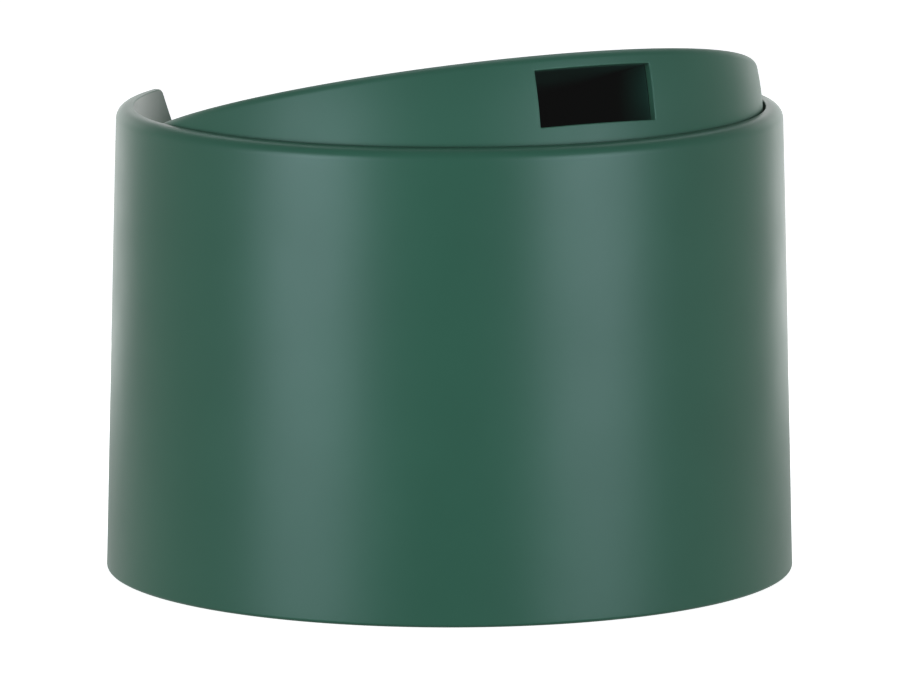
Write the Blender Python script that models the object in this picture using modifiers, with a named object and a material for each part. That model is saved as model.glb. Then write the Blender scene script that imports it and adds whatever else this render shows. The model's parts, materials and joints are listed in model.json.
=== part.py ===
"""Wasp trap: a round table-top trap with a tilting lid. Metres, +Z up, standing on z = 0.

The entrance faces -Y and the notch in the wall faces +Y. The lid and what hangs under it are built
level around the lid's pivot, and the empty that carries them tips them open.
"""
import math

import bmesh
import bpy
from mathutils import Matrix

# Clearance kept between two pieces that touch or rest on each other.
GAP = 0.0003

# Housing: a tapered sleeve, widest at its open foot.
HOUSING_HEIGHT = 0.1015
HOUSING_FOOT_RADIUS = 0.0750
HOUSING_TOP_RADIUS = 0.0725
MOUTH_RADIUS = 0.0686
FOOT_BORE_RADIUS = 0.0724
SHOULDER_FILLET = 0.0031
FOOT_FILLET = 0.0008
MOUTH_FILLET = 0.0004
NOTCH_TOP_HALF_WIDTH = 0.0435
NOTCH_FLOOR_HALF_WIDTH = 0.0335
NOTCH_FLOOR = 0.0840
NOTCH_CORNER = 0.0012
CUT_PAST = 0.0100

# Lid: a disc with a ball-shaped edge, so that it keeps its clearance while it tips.
LID_TILT = math.radians(15.6)
PIVOT_HEIGHT = 0.0955
LID_RADIUS = 0.0683
LID_TOP = 0.00685
LID_SKIRT = 0.0174
LID_WALL = 0.0022
LID_FILLET = 0.0020
LID_INNER_FILLET = 0.0005
TRUNNION_RADIUS = 0.0024
TRUNNION_TIP = 0.0709
TRUNNION_START = 0.0620
TRUNNION_ROOT_RADIUS = 0.0040
TRUNNION_ROOT = (0.0610, 0.0665)
SOCKET_RADIUS = TRUNNION_RADIUS + GAP
SOCKET_END = TRUNNION_TIP + GAP

# Blocks inside the housing that the lid's lower edge stops against.
STOP_HALF_WIDTH = 0.0120
STOP_THICKNESS = 0.0034
OPEN_STOP_REACH = 0.0568
CLOSED_STOP_REACH = 0.0625
STOP_EMBED = 0.0012

# Entrance and the rectangular tunnel behind it, in the lid's own frame.
ENTRANCE_HALF_WIDTH = 0.0138
ENTRANCE_TOP = 0.00345
ENTRANCE_FLOOR = -0.0086
TUNNEL_WALL = 0.0015
TUNNEL_CEILING_WALL = 0.0009
TUNNEL_INNER_END = -0.0200
ENTRANCE_CUT_END = -0.0560
TAB_PAST_SCREW = 0.0045
TAB_HALF_WIDTH = 0.0245
TAB_UNDERSIDE = -0.0053
TAB_THICKNESS = 0.0015
SCREW_SIDE = 0.0200
SCREW_ROWS = (-0.0310, -0.0510)
BOSS_RADIUS = 0.0032
PILOT_RADIUS = 0.0015
PILOT_TOP = 0.0035
SCREW_RADIUS = 0.0012
SCREW_TIP = 0.0027
SCREW_POINT = 0.0010
SCREW_HEAD_RADIUS = 0.0026
SCREW_HEAD_HEIGHT = 0.0016
SCREW_HEAD_CHAMFER = 0.0006

# Base plate and the catch pot that stands on it.
BASE_RADIUS = 0.0718
BASE_TOP = 0.0030
BASE_RECESS_RADIUS = 0.0600
BASE_RECESS = 0.0009
BASE_STEP_RADIUS = 0.0672
BASE_STEP_TOP = 0.0070
BASE_LIP_RADIUS = 0.0696
BASE_LIP_TOP = 0.0090
POT_FLOOR_RADIUS = 0.0668
POT_RIM_RADIUS = 0.0678
POT_WALL = 0.0018
POT_RIM_TOP = 0.0460
POT_FLANGE_RADIUS = 0.0694
POT_FLOOR_FILLET = 0.0020
POT_FOOT_CHAMFER = 0.0010
CUP_RING_RADIUS = 0.0206
CUP_RING_WALL = 0.0014
CUP_RING_HEIGHT = 0.0025

# Seal and funnel on the pot's rim.
SEAL_INNER_RADIUS = 0.0669
SEAL_OUTER_RADIUS = 0.0689
SEAL_HEIGHT = 0.0016
FUNNEL_WALL = 0.0018
FUNNEL_CONE_RADIUS = 0.0648
THROAT_RADIUS = 0.0120
THROAT_HEIGHT = 0.0310
THROAT_COLLAR = 0.0020
VENT_COUNT = 12
VENT_CIRCLE_RADIUS = 0.0400
VENT_RADIUS = 0.0015
GRIP_RADIUS = 0.0610
GRIP_SIZE = (0.0022, 0.0160, 0.0070)

# Bait cup, its sponge and its perforated cap.
CUP_RADIUS = 0.0200
CUP_HEIGHT = 0.0140
CUP_WALL = 0.0015
CUP_CHAMFER = 0.0006
SPONGE_RADIUS = 0.0178
SPONGE_HEIGHT = 0.0058
SPONGE_EDGE = 0.0008
CAP_BORE_RADIUS = 0.0205
CAP_RADIUS = 0.0219
CAP_SKIRT = 0.0057
CAP_TOP_WALL = 0.0016
CAP_EDGE = 0.0010
HOLE_RADIUS = 0.0015
HOLE_RINGS = ((0.0, 1), (0.0075, 6), (0.0140, 12))

# Steps of the turned shapes.
WIDE_STEPS = 72
MIDDLE_STEPS = 48
SMALL_STEPS = 24
SCREW_STEPS = 12
POST_STEPS = 12
PIN_STEPS = 24
BALL_STEPS = 64
BALL_RINGS = 32

# Heights that follow from the sizes above.
POT_UNDERSIDE = BASE_TOP + GAP
POT_FLOOR = POT_UNDERSIDE + POT_WALL
SEAL_UNDERSIDE = POT_RIM_TOP + GAP
FUNNEL_UNDERSIDE = SEAL_UNDERSIDE + SEAL_HEIGHT + GAP
FUNNEL_TOP = FUNNEL_UNDERSIDE + FUNNEL_WALL
CUP_UNDERSIDE = POT_FLOOR + GAP
CUP_TOP = CUP_UNDERSIDE + CUP_HEIGHT


def clear_scene():
    """Remove what an earlier run or the start-up file left behind."""
    for item in list(bpy.data.objects):
        bpy.data.objects.remove(item, do_unlink=True)


def new_collection(name):
    """Make a collection under the scene."""
    made = bpy.data.collections.new(name)
    bpy.context.scene.collection.children.link(made)
    return made


def plastic(name, colour, roughness, alpha=1.0):
    """Make a moulded plastic or rubber material."""
    made = bpy.data.materials.new(name)
    made.use_nodes = True
    shader = made.node_tree.nodes["Principled BSDF"]
    shader.inputs["Base Color"].default_value = (*colour, 1.0)
    shader.inputs["Roughness"].default_value = roughness
    shader.inputs["Metallic"].default_value = 0.0
    shader.inputs["Alpha"].default_value = alpha
    return made


def steel(name):
    """Make the bright metal of the screws."""
    made = plastic(name, (0.56, 0.57, 0.58), 0.3)
    made.node_tree.nodes["Principled BSDF"].inputs["Metallic"].default_value = 1.0
    return made


def arc(centre, radius, start, end, steps):
    """Points of an arc in the profile plane, with the angles in degrees."""
    points = []
    for index in range(steps + 1):
        angle = math.radians(start + (end - start) * index / steps)
        points.append((centre[0] + radius * math.cos(angle), centre[1] + radius * math.sin(angle)))
    return points


def turned(name, profile, steps, closed=False):
    """Turn a profile of (radius, height) points around Z."""
    mesh = bpy.data.meshes.new(name)
    corners = [(radius, 0.0, height) for radius, height in profile]
    edges = [(index, index + 1) for index in range(len(corners) - 1)]
    if closed:
        edges.append((len(corners) - 1, 0))
    mesh.from_pydata(corners, edges, [])
    made = bpy.data.objects.new(name, mesh)
    screw = made.modifiers.new("Turn", "SCREW")
    screw.steps = steps
    screw.render_steps = steps
    screw.use_merge_vertices = True
    screw.merge_threshold = 0.00001
    screw.use_smooth_shade = True
    return made


def from_bmesh(name, shape):
    """Make an object out of a finished bmesh."""
    mesh = bpy.data.meshes.new(name)
    shape.to_mesh(mesh)
    shape.free()
    return bpy.data.objects.new(name, mesh)


def boxes(name, corners):
    """One mesh of boxes, each given by its low and its high corner."""
    shape = bmesh.new()
    for low, high in corners:
        size = [high[axis] - low[axis] for axis in range(3)]
        centre = [(high[axis] + low[axis]) / 2 for axis in range(3)]
        place = Matrix.Translation(centre) @ Matrix.Diagonal((*size, 1.0))
        bmesh.ops.create_cube(shape, size=1.0, matrix=place)
    return from_bmesh(name, shape)


def posts(name, centres, radius, low, high):
    """One mesh of upright cylinders that stand on (x, y) centres."""
    shape = bmesh.new()
    for x, y in centres:
        place = Matrix.Translation((x, y, (low + high) / 2))
        bmesh.ops.create_cone(shape, cap_ends=True, segments=POST_STEPS, radius1=radius, radius2=radius,
                              depth=high - low, matrix=place)
    return from_bmesh(name, shape)


def cross_pins(name, radius, near, far):
    """Two pins along X, mirrored left and right, from near to far of the middle."""
    shape = bmesh.new()
    for side in (-1, 1):
        place = Matrix.Translation((side * (near + far) / 2, 0.0, 0.0))
        place = place @ Matrix.Rotation(math.pi / 2, 4, "Y")
        bmesh.ops.create_cone(shape, cap_ends=True, segments=PIN_STEPS, radius1=radius, radius2=radius,
                              depth=far - near, matrix=place)
    return from_bmesh(name, shape)


def combine(target, tool, operation, hidden):
    """Join the tool to the target, cut it out of it or keep what both share."""
    hidden.objects.link(tool)
    tool.hide_render = True
    tool.display_type = "WIRE"
    tool.parent = target
    step = target.modifiers.new(tool.name, "BOOLEAN")
    step.operation = operation
    step.object = tool
    step.solver = "EXACT"


def finish(item, material, visible, parent=None):
    """Link a finished piece, and give it its material and its parent."""
    visible.objects.link(item)
    item.data.materials.append(material)
    if parent is not None:
        item.parent = parent
    item.modifiers.new("Weighted normals", "WEIGHTED_NORMAL")


def bore_radius(height):
    """Radius of the housing's bore at a height."""
    return FOOT_BORE_RADIUS + (MOUTH_RADIUS - FOOT_BORE_RADIUS) * height / HOUSING_HEIGHT


def housing_profile():
    """Section of the sleeve: down its outside, then up its bore."""
    shoulder = (HOUSING_TOP_RADIUS - SHOULDER_FILLET, HOUSING_HEIGHT - SHOULDER_FILLET)
    foot = (HOUSING_FOOT_RADIUS - FOOT_FILLET, FOOT_FILLET)
    mouth = (MOUTH_RADIUS + MOUTH_FILLET, HOUSING_HEIGHT - MOUTH_FILLET)
    points = arc(shoulder, SHOULDER_FILLET, 90, 0, 4)
    points += arc(foot, FOOT_FILLET, 0, -90, 1)
    points += [(FOOT_BORE_RADIUS, 0.0)]
    points += arc(mouth, MOUTH_FILLET, 180, 90, 1)
    return points


def notch_cutter():
    """Prism with the notch's outline, with rounded floor corners, through the wall at +Y."""
    slope = (NOTCH_TOP_HALF_WIDTH - NOTCH_FLOOR_HALF_WIDTH) / (HOUSING_HEIGHT - NOTCH_FLOOR)
    top = HOUSING_HEIGHT + CUT_PAST
    top_half_width = NOTCH_TOP_HALF_WIDTH + slope * CUT_PAST
    side_angle = math.degrees(math.atan(slope))
    inset = NOTCH_CORNER * math.tan(math.radians(90 - side_angle) / 2)
    corner = (NOTCH_FLOOR_HALF_WIDTH - inset, NOTCH_FLOOR + NOTCH_CORNER)
    right = [(top_half_width, top)] + arc(corner, NOTCH_CORNER, -side_angle, -90, 4)
    outline = right + [(-x, z) for x, z in reversed(right)]
    shape = bmesh.new()
    near_y = math.sqrt(MOUTH_RADIUS ** 2 - NOTCH_TOP_HALF_WIDTH ** 2) - CUT_PAST
    far_y = HOUSING_FOOT_RADIUS + CUT_PAST
    near = [shape.verts.new((x, near_y, z)) for x, z in outline]
    wall = shape.faces.new(near)
    pushed = bmesh.ops.extrude_face_region(shape, geom=[wall])
    moved = [item for item in pushed["geom"] if isinstance(item, bmesh.types.BMVert)]
    bmesh.ops.translate(shape, verts=moved, vec=(0.0, far_y - near_y, 0.0))
    bmesh.ops.recalc_face_normals(shape, faces=shape.faces)
    return from_bmesh("notch_cutter", shape)


def stop_blocks():
    """The two blocks that the lid's lower edge meets, one when open and one when closed."""
    reach = LID_RADIUS * math.cos(math.asin(LID_SKIRT / LID_RADIUS))
    drop = reach * math.sin(LID_TILT) + LID_SKIRT * math.cos(LID_TILT)
    open_top = PIVOT_HEIGHT - drop - GAP
    closed_top = PIVOT_HEIGHT - LID_SKIRT - GAP
    rear = ((-STOP_HALF_WIDTH, OPEN_STOP_REACH, open_top - STOP_THICKNESS),
            (STOP_HALF_WIDTH, bore_radius(open_top) + STOP_EMBED, open_top))
    front = ((-STOP_HALF_WIDTH, -bore_radius(closed_top) - STOP_EMBED, closed_top - STOP_THICKNESS),
             (STOP_HALF_WIDTH, -CLOSED_STOP_REACH, closed_top))
    return boxes("stop_blocks", [rear, front])


def build_housing(material, visible, hidden):
    """Sleeve with the notch, the lid's two sockets and its two stops."""
    housing = turned("housing", housing_profile(), WIDE_STEPS, closed=True)
    sockets = cross_pins("socket_cutter", SOCKET_RADIUS, TRUNNION_START, SOCKET_END)
    sockets.location.z = PIVOT_HEIGHT
    combine(housing, stop_blocks(), "UNION", hidden)
    combine(housing, notch_cutter(), "DIFFERENCE", hidden)
    combine(housing, sockets, "DIFFERENCE", hidden)
    finish(housing, material, visible)


def lid_edge(radius, top, fillet, skirt, fillet_steps, wall_steps):
    """Profile of a flat roof that rounds over into a ball-shaped wall, from the axis outwards."""
    centre_height = top - fillet
    centre_radius = math.sqrt((radius - fillet) ** 2 - centre_height ** 2)
    joint = math.degrees(math.atan2(centre_height, centre_radius))
    bottom = -math.degrees(math.asin(skirt / radius))
    points = [(0.0, top)]
    points += arc((centre_radius, centre_height), fillet, 90, joint, fillet_steps)
    points += arc((0.0, 0.0), radius, joint, bottom, wall_steps)[1:]
    return points


def entrance_box(name, near, far):
    """Box with the entrance's section that runs along Y."""
    low = (-ENTRANCE_HALF_WIDTH, near, ENTRANCE_FLOOR)
    high = (ENTRANCE_HALF_WIDTH, far, ENTRANCE_TOP)
    return boxes(name, [(low, high)])


def screw_centres():
    """Where the four tunnel screws stand in the lid's frame, left and right as the entrance is seen."""
    return [(side * SCREW_SIDE, row) for row in SCREW_ROWS for side in (-1, 1)]


def build_lid(material, visible, hidden, pivot):
    """Lid shell with its trunnions, its screw bosses and the entrance."""
    outside = lid_edge(LID_RADIUS, LID_TOP, LID_FILLET, LID_SKIRT, 3, 5)
    inside = lid_edge(LID_RADIUS - LID_WALL, LID_TOP - LID_WALL, LID_INNER_FILLET, LID_SKIRT, 1, 3)
    lid = turned("lid", outside + list(reversed(inside)), WIDE_STEPS)
    boss_foot = TAB_UNDERSIDE + TAB_THICKNESS + GAP
    roof_middle = LID_TOP - LID_WALL / 2
    bosses = posts("lid_bosses", screw_centres(), BOSS_RADIUS, boss_foot, roof_middle)
    pilots = posts("pilot_cutter", screw_centres(), PILOT_RADIUS, boss_foot - GAP, PILOT_TOP)
    roots = cross_pins("trunnion_roots", TRUNNION_ROOT_RADIUS, *TRUNNION_ROOT)
    trunnions = cross_pins("trunnions", TRUNNION_RADIUS, TRUNNION_START, TRUNNION_TIP)
    doorway = entrance_box("entrance_cutter", -LID_RADIUS - CUT_PAST, ENTRANCE_CUT_END)
    combine(lid, roots, "UNION", hidden)
    combine(lid, trunnions, "UNION", hidden)
    combine(lid, bosses, "UNION", hidden)
    combine(lid, pilots, "DIFFERENCE", hidden)
    combine(lid, doorway, "DIFFERENCE", hidden)
    finish(lid, material, visible, pivot)


def build_tunnel(material, visible, hidden, pivot):
    """Rectangular tunnel with a screw tab along each side and a front end that fits the lid's wall."""
    outer = ENTRANCE_HALF_WIDTH + TUNNEL_WALL
    body_low = (-outer, -LID_RADIUS, ENTRANCE_FLOOR - TUNNEL_WALL)
    body_high = (outer, TUNNEL_INNER_END, ENTRANCE_TOP + TUNNEL_CEILING_WALL)
    tab_top = TAB_UNDERSIDE + TAB_THICKNESS
    tab_low = (-TAB_HALF_WIDTH, SCREW_ROWS[1] - TAB_PAST_SCREW, TAB_UNDERSIDE)
    tab_high = (TAB_HALF_WIDTH, SCREW_ROWS[0] + TAB_PAST_SCREW, tab_top)
    tunnel = boxes("entrance_tunnel", [(body_low, body_high)])
    holes = posts("tab_hole_cutter", screw_centres(), PILOT_RADIUS, TAB_UNDERSIDE - GAP, tab_top + GAP)
    bore = entrance_box("tunnel_bore_cutter", -LID_RADIUS - CUT_PAST, TUNNEL_INNER_END + CUT_PAST)
    bpy.ops.mesh.primitive_uv_sphere_add(segments=BALL_STEPS, ring_count=BALL_RINGS,
                                         radius=LID_RADIUS - LID_WALL - GAP)
    ball = bpy.context.active_object
    ball.name = "lid_inner_ball"
    for collection in list(ball.users_collection):
        collection.objects.unlink(ball)
    combine(tunnel, boxes("tunnel_tabs", [(tab_low, tab_high)]), "UNION", hidden)
    combine(tunnel, bore, "DIFFERENCE", hidden)
    combine(tunnel, holes, "DIFFERENCE", hidden)
    combine(tunnel, ball, "INTERSECT", hidden)
    finish(tunnel, material, visible, pivot)


def build_screws(material, visible, pivot):
    """Four self-tapping screws that hold the tunnel up under the lid."""
    head_top = TAB_UNDERSIDE - GAP
    head_bottom = head_top - SCREW_HEAD_HEIGHT
    profile = [
        (0.0, SCREW_TIP),
        (SCREW_RADIUS, SCREW_TIP - SCREW_POINT),
        (SCREW_RADIUS, head_top),
        (SCREW_HEAD_RADIUS, head_top),
        (SCREW_HEAD_RADIUS, head_bottom + SCREW_HEAD_CHAMFER),
        (SCREW_HEAD_RADIUS - SCREW_HEAD_CHAMFER, head_bottom),
        (0.0, head_bottom),
    ]
    names = ("rear_left", "rear_right", "front_left", "front_right")
    for name, (x, y) in zip(names, screw_centres()):
        screw = turned("tunnel_screw_" + name, profile, SCREW_STEPS)
        screw.location = (x, y, 0.0)
        finish(screw, material, visible, pivot)


def build_base_plate(material, visible):
    """Plate that closes the housing's foot, with a step that centres the pot."""
    profile = [
        (0.0, BASE_TOP),
        (BASE_STEP_RADIUS, BASE_TOP),
        (BASE_STEP_RADIUS, BASE_STEP_TOP),
        (BASE_LIP_RADIUS, BASE_STEP_TOP),
        (BASE_LIP_RADIUS, BASE_LIP_TOP),
        (BASE_RADIUS - GAP, BASE_LIP_TOP),
        (BASE_RADIUS, 0.0),
        (BASE_RECESS_RADIUS, 0.0),
        (BASE_RECESS_RADIUS, BASE_RECESS),
        (0.0, BASE_RECESS),
    ]
    plate = turned("base_plate", profile, WIDE_STEPS)
    finish(plate, material, visible)


def build_catch_pot(material, visible):
    """Pot that holds the drowning liquid, with a ring on its floor for the bait cup."""
    ring_outer = CUP_RING_RADIUS + CUP_RING_WALL
    corner = (POT_FLOOR_RADIUS - POT_WALL - POT_FLOOR_FILLET, POT_FLOOR + POT_FLOOR_FILLET)
    profile = [
        (0.0, POT_FLOOR),
        (CUP_RING_RADIUS, POT_FLOOR),
        (CUP_RING_RADIUS, POT_FLOOR + CUP_RING_HEIGHT),
        (ring_outer, POT_FLOOR + CUP_RING_HEIGHT),
        (ring_outer, POT_FLOOR),
    ]
    profile += arc(corner, POT_FLOOR_FILLET, -90, 0, 2)
    profile += [
        (POT_RIM_RADIUS - POT_WALL, POT_RIM_TOP),
        (POT_FLANGE_RADIUS, POT_RIM_TOP),
        (POT_FLANGE_RADIUS, POT_RIM_TOP - POT_WALL),
        (POT_RIM_RADIUS, POT_RIM_TOP - POT_WALL),
        (POT_FLOOR_RADIUS, POT_UNDERSIDE + POT_FOOT_CHAMFER),
        (POT_FLOOR_RADIUS - POT_FOOT_CHAMFER, POT_UNDERSIDE),
        (0.0, POT_UNDERSIDE),
    ]
    pot = turned("catch_pot", profile, WIDE_STEPS)
    finish(pot, material, visible)


def build_seal(material, visible):
    """Flat ring between the pot's rim and the funnel."""
    edge = SEAL_HEIGHT / 4
    top = SEAL_UNDERSIDE + SEAL_HEIGHT
    profile = [
        (SEAL_OUTER_RADIUS - edge, top),
        (SEAL_OUTER_RADIUS, top - edge),
        (SEAL_OUTER_RADIUS, SEAL_UNDERSIDE + edge),
        (SEAL_OUTER_RADIUS - edge, SEAL_UNDERSIDE),
        (SEAL_INNER_RADIUS + edge, SEAL_UNDERSIDE),
        (SEAL_INNER_RADIUS, SEAL_UNDERSIDE + edge),
        (SEAL_INNER_RADIUS, top - edge),
        (SEAL_INNER_RADIUS + edge, top),
    ]
    seal = turned("pot_seal", profile, MIDDLE_STEPS, closed=True)
    finish(seal, material, visible)


def vent_centres():
    """Where the small vents pierce the funnel's cone."""
    centres = []
    for index in range(VENT_COUNT):
        angle = math.tau * (index + 0.5) / VENT_COUNT
        centres.append((VENT_CIRCLE_RADIUS * math.cos(angle), VENT_CIRCLE_RADIUS * math.sin(angle)))
    return centres


def build_funnel(material, visible, hidden):
    """Cone that lets the wasps fall into the pot and not climb out, with two finger grips."""
    profile = [
        (POT_FLANGE_RADIUS, FUNNEL_TOP),
        (POT_FLANGE_RADIUS, FUNNEL_UNDERSIDE),
        (FUNNEL_CONE_RADIUS, FUNNEL_UNDERSIDE),
        (THROAT_RADIUS + FUNNEL_WALL, THROAT_HEIGHT + THROAT_COLLAR),
        (THROAT_RADIUS + FUNNEL_WALL, THROAT_HEIGHT),
        (THROAT_RADIUS, THROAT_HEIGHT),
        (THROAT_RADIUS, THROAT_HEIGHT + THROAT_COLLAR + FUNNEL_WALL),
        (FUNNEL_CONE_RADIUS - FUNNEL_WALL / 2, FUNNEL_TOP),
    ]
    funnel = turned("funnel", profile, MIDDLE_STEPS, closed=True)
    grips = []
    for side in (-1, 1):
        low_x = side * GRIP_RADIUS - GRIP_SIZE[0] / 2
        low = (low_x, -GRIP_SIZE[1] / 2, FUNNEL_TOP - FUNNEL_WALL)
        high = (low_x + GRIP_SIZE[0], GRIP_SIZE[1] / 2, FUNNEL_TOP + GRIP_SIZE[2])
        grips.append((low, high))
    vents = posts("vent_cutter", vent_centres(), VENT_RADIUS, THROAT_HEIGHT, FUNNEL_TOP)
    combine(funnel, boxes("funnel_grips", grips), "UNION", hidden)
    combine(funnel, vents, "DIFFERENCE", hidden)
    finish(funnel, material, visible)


def build_bait_cup(material, visible):
    """Small cup that stands in the ring on the pot's floor."""
    profile = [
        (0.0, CUP_UNDERSIDE + CUP_WALL),
        (CUP_RADIUS - CUP_WALL, CUP_UNDERSIDE + CUP_WALL),
        (CUP_RADIUS - CUP_WALL, CUP_TOP),
        (CUP_RADIUS, CUP_TOP),
        (CUP_RADIUS, CUP_UNDERSIDE + CUP_CHAMFER),
        (CUP_RADIUS - CUP_CHAMFER, CUP_UNDERSIDE),
        (0.0, CUP_UNDERSIDE),
    ]
    cup = turned("bait_cup", profile, MIDDLE_STEPS)
    finish(cup, material, visible)


def build_sponge(material, visible):
    """Round sponge that soaks up the bait."""
    low = CUP_UNDERSIDE + CUP_WALL + GAP
    high = low + SPONGE_HEIGHT
    profile = [
        (0.0, high),
        (SPONGE_RADIUS - SPONGE_EDGE, high),
        (SPONGE_RADIUS, high - SPONGE_EDGE),
        (SPONGE_RADIUS, low + SPONGE_EDGE),
        (SPONGE_RADIUS - SPONGE_EDGE, low),
        (0.0, low),
    ]
    sponge = turned("bait_sponge", profile, SMALL_STEPS)
    finish(sponge, material, visible)


def cap_hole_centres():
    """Middle hole and the rings of holes around it."""
    centres = []
    for radius, count in HOLE_RINGS:
        for index in range(count):
            angle = math.tau * index / count
            centres.append((radius * math.cos(angle), radius * math.sin(angle)))
    return centres


def build_cap(material, visible, hidden):
    """Perforated cap that pushes over the bait cup."""
    low = CUP_TOP + GAP
    high = low + CAP_TOP_WALL
    foot = CUP_TOP - CAP_SKIRT
    profile = [(0.0, high)]
    profile += arc((CAP_RADIUS - CAP_EDGE, high - CAP_EDGE), CAP_EDGE, 90, 0, 2)
    profile += [
        (CAP_RADIUS, foot),
        (CAP_BORE_RADIUS, foot),
        (CAP_BORE_RADIUS, low),
        (0.0, low),
    ]
    cap = turned("bait_cup_cap", profile, MIDDLE_STEPS)
    holes = posts("cap_hole_cutter", cap_hole_centres(), HOLE_RADIUS, low - GAP, high + GAP)
    combine(cap, holes, "DIFFERENCE", hidden)
    finish(cap, material, visible)


def build_trap():
    """Build every piece of the trap in its open, ready-to-use pose."""
    clear_scene()
    visible = new_collection("wasp_trap")
    hidden = new_collection("cutters")
    green = plastic("green_plastic", (0.030, 0.085, 0.060), 0.42)
    dark_green = plastic("dark_green_plastic", (0.020, 0.055, 0.040), 0.50)
    clear = plastic("clear_plastic", (0.80, 0.84, 0.80), 0.15, 0.35)
    black_rubber = plastic("black_rubber", (0.02, 0.02, 0.02), 0.85)
    yellow = plastic("yellow_plastic", (0.75, 0.48, 0.03), 0.40)
    foam = plastic("sponge_foam", (0.80, 0.66, 0.32), 0.95)
    metal = steel("screw_steel")

    pivot = bpy.data.objects.new("lid_pivot", None)
    pivot.location = (0.0, 0.0, PIVOT_HEIGHT)
    pivot.rotation_euler = (-LID_TILT, 0.0, 0.0)
    visible.objects.link(pivot)

    build_housing(green, visible, hidden)
    build_lid(green, visible, hidden, pivot)
    build_tunnel(dark_green, visible, hidden, pivot)
    build_screws(metal, visible, pivot)
    build_base_plate(dark_green, visible)
    build_catch_pot(clear, visible)
    build_seal(black_rubber, visible)
    build_funnel(clear, visible, hidden)
    build_bait_cup(yellow, visible)
    build_sponge(foam, visible)
    build_cap(yellow, visible, hidden)


build_trap()
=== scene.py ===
"""Looks of the wasp trap: fine meshes, plastics, soft studio light and camera. Metres, +Z up."""
import json
import math

import bmesh
import bpy
from mathutils import Matrix, Vector, noise


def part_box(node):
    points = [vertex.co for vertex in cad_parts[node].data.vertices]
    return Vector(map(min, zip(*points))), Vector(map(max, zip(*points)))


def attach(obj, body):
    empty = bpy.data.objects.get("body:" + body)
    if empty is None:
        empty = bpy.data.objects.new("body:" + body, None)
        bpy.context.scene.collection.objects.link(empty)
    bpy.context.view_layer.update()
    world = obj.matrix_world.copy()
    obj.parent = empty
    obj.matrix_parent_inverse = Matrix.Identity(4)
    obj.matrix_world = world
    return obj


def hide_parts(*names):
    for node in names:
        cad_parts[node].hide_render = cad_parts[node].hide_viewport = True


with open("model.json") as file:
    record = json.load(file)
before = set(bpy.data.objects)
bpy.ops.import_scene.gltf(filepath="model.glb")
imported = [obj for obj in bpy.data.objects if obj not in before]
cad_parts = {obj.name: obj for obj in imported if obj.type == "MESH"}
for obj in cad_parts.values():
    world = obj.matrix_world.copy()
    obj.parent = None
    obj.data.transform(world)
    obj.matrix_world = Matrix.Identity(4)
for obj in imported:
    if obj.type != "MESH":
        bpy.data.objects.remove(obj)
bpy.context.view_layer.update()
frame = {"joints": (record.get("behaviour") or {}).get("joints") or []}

# Gap that stays between two moulded pieces that fit together.
SEAM = 0.00002

# How far a cutter reaches past what it cuts.
CUT_PAST = 0.0010

# Housing, as the frame has it.
HOUSING_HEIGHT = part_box("housing")[1].z
FOOT_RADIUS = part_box("housing")[1].x
TOP_RADIUS = 0.0725
MOUTH_RADIUS = 0.0686
FOOT_BORE_RADIUS = 0.0724
SHOULDER_FILLET = 0.0028
NOTCH_EDGE_FILLET = 0.0006
FOOT_FILLET = 0.0008
MOUTH_FILLET = 0.0003
NOTCH_TOP_HALF_WIDTH = 0.0435
NOTCH_FLOOR_HALF_WIDTH = 0.0335
NOTCH_FLOOR = 0.0840
NOTCH_TOP_ROUND = 0.0022
NOTCH_FLOOR_ROUND = 0.0012
NOTCH_FADE = 0.0080
PLAIN_WALL_TOP = 0.0800

# Lid, in its own level frame around the pivot.
LID_TILT = math.radians(15.6)
PIVOT = Vector(next(joint for joint in frame["joints"] if joint["name"] == "lid_tilt")["pos_m"])
LID_RADIUS = 0.0683
LID_TOP = 0.00685
LID_SKIRT = 0.0174
LID_WALL = 0.0022
LID_FILLET = 0.0020
LID_INNER_FILLET = 0.0005
ENTRANCE_HALF_WIDTH = 0.0138
ENTRANCE_TOP = 0.00345
ENTRANCE_FLOOR = -0.0086
TRUNNION_RADIUS = 0.0024
TRUNNION_TIP = 0.0709
TRUNNION_START = 0.0620
TRUNNION_ROOT_RADIUS = 0.0040
TRUNNION_ROOT = (0.0610, 0.0665)
SOCKET_RADIUS = 0.0027
SOCKET_END = 0.0712
SCREW_SIDE = 0.0200
SCREW_ROWS = (-0.0310, -0.0510)
BOSS_RADIUS = 0.0032
BOSS_FOOT = -0.0035
PILOT_RADIUS = 0.0015
PILOT_TOP = 0.0035

# Columns of the lid's skin over the entrance, and round the rest of it.
DOOR_COLUMNS = 16
PLAIN_COLUMNS = 224

# Tunnel under the lid.
TUNNEL_WALL = 0.0015
TUNNEL_CEILING_WALL = 0.0009
TUNNEL_INNER_END = -0.0200
TAB_HALF_WIDTH = 0.0245
TAB_UNDERSIDE = -0.0053
TAB_TOP = -0.0038
TAB_PAST_SCREW = 0.0045

# Rim of the pot, which the funnel's flange covers.
POT_RIM_RADIUS = 0.0694

# Camera: distance, height angle and side angle round the aim point, and the lens.
AIM = Vector((0.0001, 0.0, 0.0502))
CAMERA_DISTANCE = 1.952
CAMERA_ELEVATION = math.radians(8.955)
CAMERA_AZIMUTH = math.radians(-28.3)
CAMERA_LENS = 357.9
SENSOR_WIDTH = 36.0

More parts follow.
